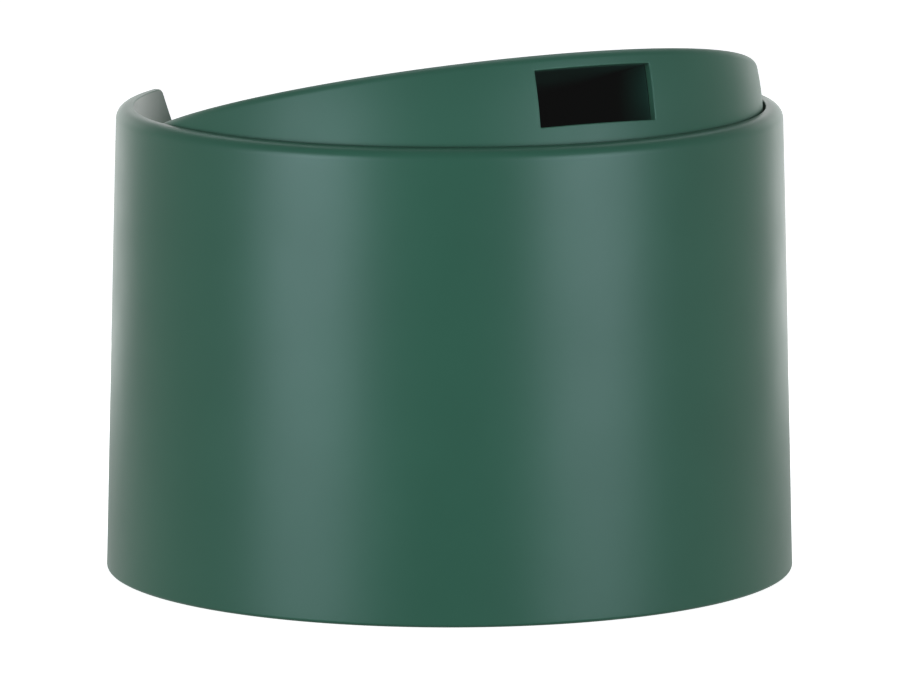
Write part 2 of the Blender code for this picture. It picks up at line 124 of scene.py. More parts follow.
# Softboxes: (name, angle from the camera's direction, distance, width, height, middle's height,
# power, colour). Two stand in front, two panels behind the trap draw its bright edges, and one
# hangs over its back.
SOFTBOXES = (
    ("softbox_left", -46.5, 0.85, 0.50, 0.50, 0.17, 4.00, (0.745, 0.930, 1.040)),
    ("softbox_right", 46.5, 0.85, 0.50, 0.50, 0.17, 3.62, (0.745, 0.930, 1.040)),
    ("panel_left", -154.0, 0.32, 0.26, 0.22, 0.10, 0.20, (1.0, 1.0, 1.0)),
    ("panel_right", 154.0, 0.32, 0.26, 0.22, 0.10, 0.23, (1.0, 1.0, 1.0)),
    ("overhead", 180.0, 0.45, 0.80, 0.60, 0.80, 2.40, (0.85, 0.96, 1.0)),
)

# Surround: strength near the horizon and higher up behind the trap, how steeply it rises from the
# camera's side to the back, and how high the lower part reaches.
SURROUND_LOW = 0.80
SURROUND_HIGH = 0.20
SURROUND_POWER = 2.0
SURROUND_REACH = (0.10, 0.50)

# Faint veil over the darkest places, as in a lens.
VEIL = 0.005

# Floor: radius, how far it lies under the trap's foot, and its own glow, which keeps it near white.
FLOOR_RADIUS = 8.0
FLOOR_DROP = 0.0002
FLOOR_GLOW = 0.93


# ---------------------------------------------------------------- shape tools

def arc(centre, radius, start, end, steps):
    """Points of an arc, with the angles in degrees."""
    points = []
    for index in range(steps + 1):
        angle = math.radians(start + (end - start) * index / steps)
        points.append((centre[0] + radius * math.cos(angle), centre[1] + radius * math.sin(angle)))
    return points


def rounded(corners, closed=False, steps=5):
    """Outline through (radius, height, fillet) corners, each rounded by its fillet."""
    count = len(corners)
    outline = []
    for index, (x, y, fillet) in enumerate(corners):
        at_end = not closed and index in (0, count - 1)
        if at_end or fillet <= 0.0:
            outline.append((x, y))
            continue
        here = Vector((x, y))
        before = Vector(corners[index - 1][:2]) - here
        after = Vector(corners[(index + 1) % count][:2]) - here
        room = 0.49 * min(before.length, after.length)
        before.normalize()
        after.normalize()
        half = before.angle(after) / 2
        reach = min(fillet / math.tan(half), room)
        radius = reach * math.tan(half)
        centre = here + (before + after).normalized() * (radius / math.sin(half))
        start = here + before * reach - centre
        end = here + after * reach - centre
        for step in range(steps + 1):
            turn = start.lerp(end, step / steps)
            turn = turn.normalized() * radius
            outline.append(tuple(centre + turn))
    return outline


def finished(name, shape, weighted=True):
    """Turn a bmesh into a linked, smooth-shaded object."""
    bmesh.ops.remove_doubles(shape, verts=shape.verts, dist=1e-7)
    bmesh.ops.recalc_face_normals(shape, faces=shape.faces)
    for face in shape.faces:
        face.smooth = True
    mesh = bpy.data.meshes.new(name)
    shape.to_mesh(mesh)
    shape.free()
    item = bpy.data.objects.new(name, mesh)
    bpy.context.scene.collection.objects.link(item)
    if weighted:
        add_weighted_normals(item)
    return item


def add_weighted_normals(item):
    """Shade flat faces flat and let the fillets take the bend."""
    step = item.modifiers.new("Weighted normals", "WEIGHTED_NORMAL")
    step.keep_sharp = True


def band(shape, first, second, closed=True):
    """Quads between two equally long rows of vertices."""
    count = len(first)
    for index in range(count if closed else count - 1):
        following = (index + 1) % count
        quad = (first[index], first[following], second[following], second[index])
        if len(set(quad)) > 2:
            shape.faces.new(tuple(dict.fromkeys(quad)))


def revolved(name, outline, steps, closed=False, wave=None, weighted=True):
    """Turn an outline round Z. wave(radius, height, angle) may change a point's radius."""
    shape = bmesh.new()
    rings = []
    for radius, height in outline:
        if radius < 1e-7:
            point = shape.verts.new((0.0, 0.0, height))
            rings.append([point] * steps)
            continue
        ring = []
        for index in range(steps):
            angle = math.tau * index / steps
            reach = wave(radius, height, angle) if wave else radius
            point = (reach * math.cos(angle), reach * math.sin(angle), height)
            ring.append(shape.verts.new(point))
        rings.append(ring)
    pairs = list(zip(rings, rings[1:]))
    if closed:
        pairs.append((rings[-1], rings[0]))
    for first, second in pairs:
        band(shape, first, second)
    return finished(name, shape, weighted)


def pins(name, centres, radius, low, high, steps=48, across=False):
    """Mesh of upright cylinders on (x, y) centres, or with across=True of one along X each side."""
    shape = bmesh.new()
    places = []
    if across:
        for side in (-1, 1):
            place = Matrix.Translation((side * (low + high) / 2, 0.0, 0.0))
            places.append(place @ Matrix.Rotation(math.pi / 2, 4, "Y"))
    else:
        places = [Matrix.Translation((x, y, (low + high) / 2)) for x, y in centres]
    for place in places:
        bmesh.ops.create_cone(shape, cap_ends=True, segments=steps, radius1=radius, radius2=radius,
                              depth=high - low, matrix=place)
    return finished(name, shape, weighted=False)


def blocks(name, corners, fillet=0.0):
    """Mesh of boxes, each given by its low and its high corner, with rounded edges."""
    shape = bmesh.new()
    for low, high in corners:
        size = [high[axis] - low[axis] for axis in range(3)]
        centre = [(high[axis] + low[axis]) / 2 for axis in range(3)]
        place = Matrix.Translation(centre) @ Matrix.Diagonal((*size, 1.0))
        bmesh.ops.create_cube(shape, size=1.0, matrix=place)
    if fillet > 0.0:
        bmesh.ops.bevel(shape, geom=shape.edges[:], offset=fillet, segments=3, profile=0.5,
                        affect="EDGES")
    return finished(name, shape, weighted=False)


def combine(target, tool, operation):
    """Apply a Boolean with the tool to the target's mesh, and remove the tool."""
    step = target.modifiers.new(tool.name, "BOOLEAN")
    step.operation = operation
    step.object = tool
    step.solver = "EXACT"
    bpy.context.view_layer.update()
    graph = bpy.context.evaluated_depsgraph_get()
    mesh = bpy.data.meshes.new_from_object(target.evaluated_get(graph))
    old = target.data
    target.modifiers.remove(step)
    target.data = mesh
    bpy.data.meshes.remove(old)
    bpy.data.objects.remove(tool, do_unlink=True)


def tip_open(item):
    """Move a piece that was built level round the pivot to the lid's open pose."""
    item.data.transform(Matrix.Translation(PIVOT) @ Matrix.Rotation(-LID_TILT, 4, "X"))


def settle(item, material, body, slot, *nodes):
    """Give a piece its material and its body, and hide the CAD nodes that it stands for; slot is
    not used.
    """
    item.data.materials.clear()
    item.data.materials.append(material)
    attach(item, body)
    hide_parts(*nodes)


# ------------------------------------------------------------------ materials

class Nodes:
    """Short way to add nodes and links to one material."""

    def __init__(self, name):
        self.material = bpy.data.materials.new(name)
        self.material.use_nodes = True
        self.tree = self.material.node_tree
        self.shader = self.tree.nodes["Principled BSDF"]
        place = self.tree.nodes.new("ShaderNodeTexCoord")
        self.place = place.outputs["Object"]

    def set(self, **values):
        """Set sockets of the shader, with _ for the spaces in their names."""
        for name, value in values.items():
            self.shader.inputs[name.replace("_", " ")].default_value = value

    def noise(self, scale, detail=2.0, roughness=0.5):
        """Noise of that many features per metre."""
        node = self.tree.nodes.new("ShaderNodeTexNoise")
        node.inputs["Scale"].default_value = scale
        node.inputs["Detail"].default_value = detail
        node.inputs["Roughness"].default_value = roughness
        self.tree.links.new(self.place, node.inputs["Vector"])
        return node.outputs["Fac"]

    def cells(self, scale):
        """Distance to the nearest of scattered points, for pores and grain."""
        node = self.tree.nodes.new("ShaderNodeTexVoronoi")
        node.inputs["Scale"].default_value = scale
        self.tree.links.new(self.place, node.inputs["Vector"])
        return node.outputs["Distance"]

    def span(self, value, low, high, to_low, to_high):
        """Map a value from one range onto another, clamped."""
        node = self.tree.nodes.new("ShaderNodeMapRange")
        node.inputs["From Min"].default_value = low
        node.inputs["From Max"].default_value = high
        node.inputs["To Min"].default_value = to_low
        node.inputs["To Max"].default_value = to_high
        self.tree.links.new(value, node.inputs["Value"])
        return node.outputs["Result"]

    def blend(self, factor, first, second):
        """Mix two colours, each a socket or three numbers.

        A Mix node keeps its two colour inputs at 6 and 7, and its colour result at 2.
        """
        node = self.tree.nodes.new("ShaderNodeMix")
        node.data_type = "RGBA"
        self.tree.links.new(factor, node.inputs["Factor"])
        for socket, value in ((node.inputs[6], first), (node.inputs[7], second)):
            if isinstance(value, tuple):
                socket.default_value = (*value, 1.0)
            else:
                self.tree.links.new(value, socket)
        return node.outputs[2]

    def edges(self, low, high):
        """How far a point stands on a sharp outer edge, from 0 to 1."""
        node = self.tree.nodes.new("ShaderNodeNewGeometry")
        return self.span(node.outputs["Pointiness"], low, high, 0.0, 1.0)

    def bump(self, height, distance, under=None):
        """Bump of that real depth, on top of another one if given."""
        node = self.tree.nodes.new("ShaderNodeBump")
        node.inputs["Distance"].default_value = distance
        self.tree.links.new(height, node.inputs["Height"])
        if under is not None:
            self.tree.links.new(under, node.inputs["Normal"])
        return node.outputs["Normal"]

    def link(self, socket, name):
        """Feed a socket into the shader's input of that name."""
        self.tree.links.new(socket, self.shader.inputs[name])


def moulded_plastic(name, colour, light, roughness, spread, grain):
    """Satin plastic: even colour with a faint flow mottle, fine tool grain and a painted highlight
    on its sharp outer edges.
    """
    nodes = Nodes(name)
    mottle = nodes.span(nodes.noise(35.0, 3.0), 0.35, 0.65, 0.0, 1.0)
    darker = tuple(0.94 * part for part in colour)
    body = nodes.blend(mottle, darker, colour)
    # Sharp outer edges get the paler colour: a painted highlight along them, not a colour of the
    # plastic.
    nodes.link(nodes.blend(nodes.edges(0.56, 0.72), body, light), "Base Color")
    patches = nodes.noise(60.0, 4.0, 0.6)
    nodes.link(nodes.span(patches, 0.3, 0.7, roughness - spread, roughness + spread), "Roughness")
    coarse = nodes.bump(nodes.noise(240.0, 2.0), grain * 0.6)
    nodes.link(nodes.bump(nodes.noise(3200.0, 2.0), grain, under=coarse), "Normal")
    nodes.set(Metallic=0.0, IOR=1.49)
    return nodes.material


def clear_plastic(name, colour, roughness):
    """Natural translucent plastic with a faint cloud in it."""
    nodes = Nodes(name)
    cloud = nodes.span(nodes.noise(55.0, 3.0), 0.3, 0.7, 0.0, 1.0)
    paler = tuple(min(1.0, part * 1.04) for part in colour)
    nodes.link(nodes.blend(cloud, colour, paler), "Base Color")
    haze = nodes.noise(90.0, 3.0)
    nodes.link(nodes.span(haze, 0.3, 0.7, roughness, roughness + 0.08), "Roughness")
    nodes.link(nodes.bump(nodes.noise(400.0, 2.0), 0.00001), "Normal")
    nodes.set(Transmission_Weight=0.82, IOR=1.46)
    return nodes.material


def rubber(name):
    """Matt black rubber with a fine moulded grain."""
    nodes = Nodes(name)
    bloom = nodes.noise(120.0, 3.0)
    nodes.link(nodes.blend(bloom, (0.012, 0.012, 0.012), (0.028, 0.028, 0.027)), "Base Color")
    nodes.link(nodes.span(nodes.noise(300.0), 0.3, 0.7, 0.72, 0.88), "Roughness")
    nodes.link(nodes.bump(nodes.noise(2500.0), 0.00002), "Normal")
    return nodes.material


def foam(name):
    """Open-cell sponge with painted shade in its pores."""
    nodes = Nodes(name)
    pores = nodes.span(nodes.cells(900.0), 0.1, 0.6, 0.0, 1.0)
    # The pores are painted darker, as painted shade inside them, and the same mask bumps them in.
    nodes.link(nodes.blend(pores, (0.30, 0.20, 0.07), (0.82, 0.66, 0.30)), "Base Color")
    nodes.link(nodes.bump(pores, 0.0004), "Normal")
    nodes.set(Roughness=0.95)
    return nodes.material


def zinc_steel(name):
    """Bright zinc-plated steel with turning marks and small stains."""
    nodes = Nodes(name)
    stains = nodes.span(nodes.noise(700.0, 4.0), 0.4, 0.7, 0.0, 1.0)
    nodes.link(nodes.blend(stains, (0.62, 0.63, 0.64), (0.45, 0.46, 0.47)), "Base Color")
    nodes.link(nodes.span(nodes.noise(1500.0), 0.3, 0.7, 0.22, 0.42), "Roughness")
    nodes.link(nodes.bump(nodes.noise(5000.0), 0.000004), "Normal")
    nodes.set(Metallic=1.0)
    return nodes.material


# -------------------------------------------------------------------- housing

def outer_radius(height):
    """Radius of the housing's outside at a height."""
    return FOOT_RADIUS + (TOP_RADIUS - FOOT_RADIUS) * height / HOUSING_HEIGHT


def bore_radius(height):
    """Radius of the housing's bore at a height."""
    return FOOT_BORE_RADIUS + (MOUTH_RADIUS - FOOT_BORE_RADIUS) * height / HOUSING_HEIGHT


def notch_outline():
    """Right half of the notch's outline from the rim to the middle of its floor, as (x, height)."""
    run = NOTCH_TOP_HALF_WIDTH - NOTCH_FLOOR_HALF_WIDTH
    rise = HOUSING_HEIGHT - NOTCH_FLOOR
    lean = math.degrees(math.atan2(run, rise))
    spread = math.tan(math.radians(90 - lean) / 2)
    top = (NOTCH_TOP_HALF_WIDTH + NOTCH_TOP_ROUND * spread, HOUSING_HEIGHT - NOTCH_TOP_ROUND)
    floor = (NOTCH_FLOOR_HALF_WIDTH - NOTCH_FLOOR_ROUND * spread, NOTCH_FLOOR + NOTCH_FLOOR_ROUND)
    upper = arc(top, NOTCH_TOP_ROUND, 90, 180 - lean, 10)
    lower = arc(floor, NOTCH_FLOOR_ROUND, -lean, -90, 8)
    side = [tuple(Vector(upper[-1]).lerp(Vector(lower[0]), step / 14)) for step in range(1, 14)]
    middle = [(floor[0] * (1 - step / 16), NOTCH_FLOOR) for step in range(1, 17)]
    return upper + side + lower + middle


def housing_columns():
    """(outer azimuth, bore azimuth, height) of each column, with the azimuth measured from +Y.

    Beside the notch the two azimuths differ, so that its sides are cut straight through the wall,
    and the difference fades out over a quarter of the plain rim.
    """
    right = notch_outline()
    notch_y = (PLAIN_WALL_TOP + HOUSING_HEIGHT) / 2
    outer = outer_radius(notch_y)
    bore = bore_radius(notch_y)
    half = []
    for x, height in right:
        half.append((math.asin(x / outer), math.asin(x / bore), height))
    start_outer, start_bore, _ = half[0]
    middle = (start_outer + start_bore) / 2
    twist = (start_bore - start_outer) / 2
    plain = []
    count = 118
    for index in range(1, count + 1):
        share = index / count
        azimuth = middle + (math.pi - middle) * share
        fade = twist * max(0.0, 1.0 - 4.0 * share) ** 2
        plain.append((azimuth - fade, azimuth + fade, HOUSING_HEIGHT))
    one_side = list(reversed(plain)) + half
    other_side = [(-turn, -bore_turn, height) for turn, bore_turn, height in one_side[1:-1]]
    return one_side + list(reversed(other_side))


def housing_section(height):
    """Points of the wall's section as (radius, height, share of the bore's azimuth)."""
    near_rim = max(0.0, 1.0 - (HOUSING_HEIGHT - height) / NOTCH_FADE)
    fillet = NOTCH_EDGE_FILLET + (SHOULDER_FILLET - NOTCH_EDGE_FILLET) * near_rim ** 2
    rows = [0.0035, 0.012, 0.030, 0.050, 0.066, PLAIN_WALL_TOP]
    foot = arc((FOOT_RADIUS - FOOT_FILLET, FOOT_FILLET), FOOT_FILLET, -90, 0, 5)
    points = [(radius, z, 0.0) for radius, z in foot]
    points += [(outer_radius(z), z, 0.0) for z in rows]
    outer = outer_radius(height)
    bore = bore_radius(height)
    lip = min(MOUTH_FILLET, fillet)
    top = arc((outer - fillet, height - fillet), fillet, 0, 90, 9)
    top += arc((bore + lip, height - lip), lip, 90, 180, 5)
    points += [(radius, z, (outer - radius) / (outer - bore)) for radius, z in top]
    points += [(bore_radius(z), z, 1.0) for z in reversed(rows)]
    points += [(FOOT_BORE_RADIUS, MOUTH_FILLET, 1.0), (FOOT_BORE_RADIUS + MOUTH_FILLET, 0.0, 1.0)]
    return points


def build_housing(material):
    """Sleeve whose rim dips into the notch, with its sockets and its two lid stops."""
    shape = bmesh.new()
    columns = []
    for outer_turn, bore_turn, height in housing_columns():
        column = []
        for radius, z, share in housing_section(height):
            turn = outer_turn + (bore_turn - outer_turn) * share
            column.append(shape.verts.new((radius * math.sin(turn), radius * math.cos(turn), z)))
        columns.append(column)
    for index, column in enumerate(columns):
        band(shape, column, columns[(index + 1) % len(columns)])
    housing = finished("housing_shell", shape, weighted=False)
    combine(housing, stop_blocks(), "UNION")
    sockets = pins("socket_cutter", (), SOCKET_RADIUS, TRUNNION_START, SOCKET_END, across=True)
    sockets.location.z = PIVOT.z
    combine(housing, sockets, "DIFFERENCE")
    housing.data.set_sharp_from_angle(angle=math.radians(50))
    add_weighted_normals(housing)
    settle(housing, material, "hood", "green_plastic", "housing")


def stop_blocks():
    """Rounded blocks on the bore that the lid's lower edge meets when open and when closed."""
    gap = 0.0003
    half_width = 0.0120
    thickness = 0.0034
    embed = 0.0012
    rear_face = 0.0568
    front_face = -0.0625
    reach = math.sqrt(LID_RADIUS ** 2 - LID_SKIRT ** 2)
    drop = reach * math.sin(LID_TILT) + LID_SKIRT * math.cos(LID_TILT)
    open_top = PIVOT.z - drop - gap
    closed_top = PIVOT.z - LID_SKIRT - gap
    rear_end = bore_radius(open_top) + embed
    front_end = -bore_radius(closed_top) - embed
    rear = ((-half_width, rear_face, open_top - thickness), (half_width, rear_end, open_top))
    front = ((-half_width, front_end, closed_top - thickness), (half_width, front_face, closed_top))
    return blocks("stop_blocks", [rear, front], 0.0004)


# ------------------------------------------------------------------------ lid

def lid_rows(radius, top, fillet):
    """Rows of the lid's skin from the roof's middle to the skirt's foot, as (radius, height)."""
    centre_height = top - fillet
    centre_radius = math.sqrt((radius - fillet) ** 2 - centre_height ** 2)
    joint = math.degrees(math.atan2(centre_height, centre_radius))
    rows = [(centre_radius * share, top) for share in (0.25, 0.5, 0.75, 0.92)]
    rows += arc((centre_radius, centre_height), fillet, 90, joint, 9)
    heights = [ENTRANCE_TOP + (ENTRANCE_FLOOR - ENTRANCE_TOP) * step / 10 for step in range(11)]
    heights += [ENTRANCE_FLOOR + (-LID_SKIRT - ENTRANCE_FLOOR) * step / 7 for step in range(1, 8)]
    rows += [(math.sqrt(radius ** 2 - height ** 2), height) for height in heights]
    return rows


def lid_azimuths(radius_at_row):
    """Azimuths from -Y of a row's columns, with the entrance's two sides at their own x."""
    edge = math.asin(min(1.0, ENTRANCE_HALF_WIDTH / radius_at_row))
    turns = [edge * (2 * step / DOOR_COLUMNS - 1) for step in range(DOOR_COLUMNS)]
    turns += [edge + (math.tau - 2 * edge) * step / PLAIN_COLUMNS for step in range(PLAIN_COLUMNS)]
    return turns


def lid_skin(shape, radius, top, fillet):
    """One skin of the lid with the entrance left open; returns its foot and entrance outline."""
    rows = lid_rows(radius, top, fillet)
    middle = shape.verts.new((0.0, 0.0, top))
    grid = []
    for row_radius, height in rows:
        # On the roof's inner part the columns run straight to its middle.
        reference = max(row_radius, 0.8 * radius)
        ring = []
        for turn in lid_azimuths(reference):
            point = (row_radius * math.sin(turn), -row_radius * math.cos(turn), height)
            ring.append(shape.verts.new(point))
        grid.append(ring)
    count = len(grid[0])
    band(shape, [middle] * count, grid[0])
    first_open = next(i for i, row in enumerate(rows) if abs(row[1] - ENTRANCE_TOP) < 1e-9)
    last_open = next(i for i, row in enumerate(rows) if abs(row[1] - ENTRANCE_FLOOR) < 1e-9)
    for row in range(len(grid) - 1):
        for column in range(count):
            if first_open <= row < last_open and column < DOOR_COLUMNS:
                continue
            following = (column + 1) % count
            shape.faces.new((grid[row][column], grid[row][following],
                             grid[row + 1][following], grid[row + 1][column]))
    doorway = [grid[first_open][column] for column in range(DOOR_COLUMNS + 1)]
    doorway += [grid[row][DOOR_COLUMNS] for row in range(first_open + 1, last_open + 1)]
    doorway += [grid[last_open][column] for column in range(DOOR_COLUMNS - 1, -1, -1)]
    doorway += [grid[row][0] for row in range(last_open - 1, first_open, -1)]
    return grid[-1], doorway


def screw_centres():
    """Where the four tunnel screws stand in the lid's frame."""
    return [(side * SCREW_SIDE, row) for row in SCREW_ROWS for side in (-1, 1)]


def build_lid(material):
    """Lid with its ball-shaped edge, the entrance, the bosses and the trunnions."""
    shape = bmesh.new()
    outer_foot, outer_door = lid_skin(shape, LID_RADIUS, LID_TOP, LID_FILLET)
    inner_size = (LID_RADIUS - LID_WALL, LID_TOP - LID_WALL, LID_INNER_FILLET)
    inner_foot, inner_door = lid_skin(shape, *inner_size)
    band(shape, outer_foot, inner_foot)
    band(shape, outer_door, inner_door)
    lid = finished("lid_shell", shape, weighted=False)
    bevel = lid.modifiers.new("Edges", "BEVEL")
    bevel.limit_method = "ANGLE"
    bevel.angle_limit = math.radians(40)
    bevel.width = 0.0003
    bevel.segments = 3
    bevel.use_clamp_overlap = True
    roof_middle = LID_TOP - LID_WALL / 2
    screws = screw_centres()
    combine(lid, pins("bosses", screws, BOSS_RADIUS, BOSS_FOOT, roof_middle), "UNION")
    combine(lid, pins("roots", (), TRUNNION_ROOT_RADIUS, *TRUNNION_ROOT, across=True), "UNION")
    trunnions = pins("trunnions", (), TRUNNION_RADIUS, TRUNNION_START, TRUNNION_TIP, across=True)
    combine(lid, trunnions, "UNION")
    pilots = pins("pilots", screws, PILOT_RADIUS, BOSS_FOOT - CUT_PAST, PILOT_TOP)
    combine(lid, pilots, "DIFFERENCE")
    tip_open(lid)
    lid.data.set_sharp_from_angle(angle=math.radians(50))
    add_weighted_normals(lid)
    settle(lid, material, "tilting_lid", "green_plastic", "lid")


# --------------------------------------------------------------------- tunnel

def rectangle_loop(half_width, low, high, fillet, along, upright):
    """Rounded rectangle as (x, height) points, with extra points along its straight sides."""
    corners = ((1, high - fillet), (-1, high - fillet), (-1, low + fillet), (1, low + fillet))
    bends = []
    for index, (side, z) in enumerate(corners):
        start = 90 * index
        bends.append(arc((side * (half_width - fillet), z), fillet, start, start + 90, 4))
    points = []
    for index, bend in enumerate(bends):
        here = Vector(bend[-1])
        target = Vector(bends[(index + 1) % 4][0])
        cuts = along if index % 2 == 0 else upright
        points += bend
        points += [tuple(here.lerp(target, step / cuts)) for step in range(1, cuts)]
    return points


def tunnel_skin(shape, loop, front_radius, stations):
    """Rings of one skin from the lid's wall to the tunnel's inner end."""
    rings = []
    for station in range(stations + 1):
        share = station / stations
        ring = []
        for x, z in loop:
            front = -math.sqrt(front_radius ** 2 - x ** 2 - z ** 2)
            ring.append(shape.verts.new((x, front + (TUNNEL_INNER_END - front) * share, z)))
        rings.append(ring)
    for first, second in zip(rings, rings[1:]):
        band(shape, first, second)
    return rings[0], rings[-1]


def build_tunnel(material):
    """Rectangular duct whose front end follows the lid's wall, with two screw tabs."""
    front_radius = LID_RADIUS - LID_WALL - SEAM
    outer_fillet = 0.0006
    inner_fillet = 0.0002
    cuts = (16, 8)
    stations = 12
    outer = rectangle_loop(ENTRANCE_HALF_WIDTH + TUNNEL_WALL, ENTRANCE_FLOOR - TUNNEL_WALL,
                           ENTRANCE_TOP + TUNNEL_CEILING_WALL, outer_fillet, *cuts)
    inner = rectangle_loop(ENTRANCE_HALF_WIDTH, ENTRANCE_FLOOR, ENTRANCE_TOP, inner_fillet, *cuts)
    shape = bmesh.new()
    outer_front, outer_back = tunnel_skin(shape, outer, front_radius, stations)
    inner_front, inner_back = tunnel_skin(shape, inner, front_radius, stations)
    band(shape, outer_front, inner_front)
    band(shape, outer_back, inner_back)
    tunnel = finished("tunnel_duct", shape, weighted=False)
    overlap = 0.0008
    wall = ENTRANCE_HALF_WIDTH + TUNNEL_WALL
    tabs = []
    for low_x, high_x in ((-TAB_HALF_WIDTH, -wall + overlap), (wall - overlap, TAB_HALF_WIDTH)):
        tabs.append(((low_x, SCREW_ROWS[1] - TAB_PAST_SCREW, TAB_UNDERSIDE),
                     (high_x, SCREW_ROWS[0] + TAB_PAST_SCREW, TAB_TOP)))
    combine(tunnel, blocks("tabs", tabs, 0.0003), "UNION")
    reach = (TAB_UNDERSIDE - CUT_PAST, TAB_TOP + CUT_PAST)
    combine(tunnel, pins("tab_holes", screw_centres(), PILOT_RADIUS, *reach), "DIFFERENCE")
    tip_open(tunnel)
    tunnel.data.set_sharp_from_angle(angle=math.radians(40))
    add_weighted_normals(tunnel)
    settle(tunnel, material, "tilting_lid", "dark_green_plastic", "entrance_tunnel")


# --------------------------------------------------------------------- screws

def build_screw(name, x, y, material):
    """Self-tapping screw with a helical thread and a cross recess in its pan head."""
    head_top = TAB_UNDERSIDE - 0.0003
    head_bottom = head_top - 0.0016
    head_radius = 0.0026
    shank_radius = 0.0012
    head_round = 0.0008
    tip = 0.0027
    point = tip - 0.0008
    pitch = 0.0009
    depth = 0.00022

    def thread(radius, height, angle):
        """Sink the radius between the turns of the thread."""
        on_shank = abs(radius - shank_radius) < 1e-9
        if not on_shank or not head_top + 0.0004 < height < point:
            return radius
        phase = (height / pitch - angle / math.tau) % 1.0
        return radius - depth * (1.0 - abs(2.0 * phase - 1.0))

    outline = [(0.0, tip), (0.0007, tip - 0.0002), (shank_radius, point)]
    rows = 90
    for step in range(1, rows + 1):
        outline.append((shank_radius, point + (head_top - point) * step / rows))
    outline += [(head_radius, head_top), (head_radius, head_bottom + head_round)]
    outline += arc((head_radius - head_round, head_bottom + head_round), head_round, 0, -90, 5)[1:]
    outline += [(0.0, head_bottom)]
    screw = revolved(name, outline, 32, wave=thread, weighted=False)
    arm = 0.0015
    half = 0.00028
    recess_depth = 0.0009
    low = head_bottom - CUT_PAST
    high = head_bottom + recess_depth
    cross = [((-arm, -half, low), (arm, half, high)), ((-half, -arm, low), (half, arm, high))]
    for corners in cross:
        combine(screw, blocks("recess", [corners]), "DIFFERENCE")
    screw.data.transform(Matrix.Translation((x, y, 0.0)))
    tip_open(screw)
    screw.data.set_sharp_from_angle(angle=math.radians(35))
    settle(screw, material, "tilting_lid", "screw_steel", "tunnel_screw_" + name[len("screw_"):])


def build_screws(material):
    """The four screws, named by where they stand."""
    names = ("rear_left", "rear_right", "front_left", "front_right")
    for name, (x, y) in zip(names, screw_centres()):
        build_screw("screw_" + name, x, y, material)


# ------------------------------------------------------- base, pot and funnel

def build_base(material):
    """Base plate with its steps and a ring of ribs in the recess underneath."""
    radius = 0.0718
    draft = 0.0003
    high = 0.0090
    floor = 0.0030
    well_radius = 0.0672
    step_radius = 0.0696
    step = 0.0070
    recess_radius = 0.0600
    recess = 0.0009
    outline = rounded([
        (0.0, floor, 0.0),
        (well_radius, floor, 0.0004),
        (well_radius, step, 0.0004),
        (step_radius, step, 0.0003),
        (step_radius, high, 0.0004),
        (radius - draft, high, 0.0004),
        (radius, 0.0, 0.0004),
        (recess_radius, 0.0, 0.0003),
        (recess_radius, recess, 0.0002),
        (0.0, recess, 0.0),
    ])
    plate = revolved("base_disc", outline, 192, weighted=False)
    ribs = bmesh.new()
    rib_count = 12
    rib_size = (0.046, 0.0012, 0.0009)
    rib_middle = (0.036, 0.0, 0.00065)
    middle = Matrix.Translation(rib_middle)
    size = Matrix.Diagonal((*rib_size, 1.0))
    for index in range(rib_count):
        turn = Matrix.Rotation(math.tau * index / rib_count, 4, "Z")
        bmesh.ops.create_cube(ribs, size=1.0, matrix=turn @ middle @ size)
    combine(plate, finished("ribs", ribs, weighted=False), "UNION")
    plate.data.set_sharp_from_angle(angle=math.radians(40))
    add_weighted_normals(plate)
    settle(plate, material, "base", "dark_green_plastic", "base_plate")


def build_pot(material):
    """Thin-walled pot with a rolled rim and the ring that holds the bait cup."""
    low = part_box("catch_pot")[0].z
    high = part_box("catch_pot")[1].z
    wall = 0.0018
    floor = low + wall
    ring_bore = 0.0206
    ring_radius = 0.0220
    ring_top = floor + 0.0025
    foot_bore = 0.0650
    foot_radius = 0.0668
    mouth_bore = 0.0660
    mouth_radius = 0.0678
    outline = rounded([
        (0.0, floor, 0.0),
        (ring_bore, floor, 0.0003),
        (ring_bore, ring_top, 0.0004),
        (ring_radius, ring_top, 0.0004),
        (ring_radius, floor, 0.0003),
        (foot_bore, floor, 0.0020),
        (mouth_bore, high, 0.0008),
        (POT_RIM_RADIUS, high, 0.0008),
        (POT_RIM_RADIUS, high - wall, 0.0006),
        (mouth_radius, high - wall, 0.0005),
        (foot_radius, low, 0.0016),
        (0.0, low, 0.0),
    ])
    pot = revolved("pot_shell", outline, 192)
    settle(pot, material, "pot", "clear_plastic", "catch_pot")


def build_seal(material):
    """Rubber ring with a shallow groove in its upper and lower face."""
    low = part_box("pot_seal")[0].z
    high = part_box("pot_seal")[1].z
    inner = 0.0669
    outer = 0.0689
    middle = (inner + outer) / 2
    groove = 0.00025
    groove_half_width = 0.0003
    outline = rounded([
        (outer, high, 0.0004),
        (outer, low, 0.0004),
        (middle + groove_half_width, low, 0.0001),
        (middle, low + groove, 0.0001),
        (middle - groove_half_width, low, 0.0001),
        (inner, low, 0.0004),
        (inner, high, 0.0004),
        (middle - groove_half_width, high, 0.0001),
        (middle, high - groove, 0.0001),
        (middle + groove_half_width, high, 0.0001),
    ], closed=True, steps=4)
    seal = revolved("seal_ring", outline, 160, closed=True)
    settle(seal, material, "pot", "black_rubber", "pot_seal")


def vent_centres():
    """Where the small vents pierce the funnel's cone."""
    count = 12
    radius = 0.0400
    turns = [math.tau * (index + 0.5) / count for index in range(count)]
    return [(radius * math.cos(turn), radius * math.sin(turn)) for turn in turns]


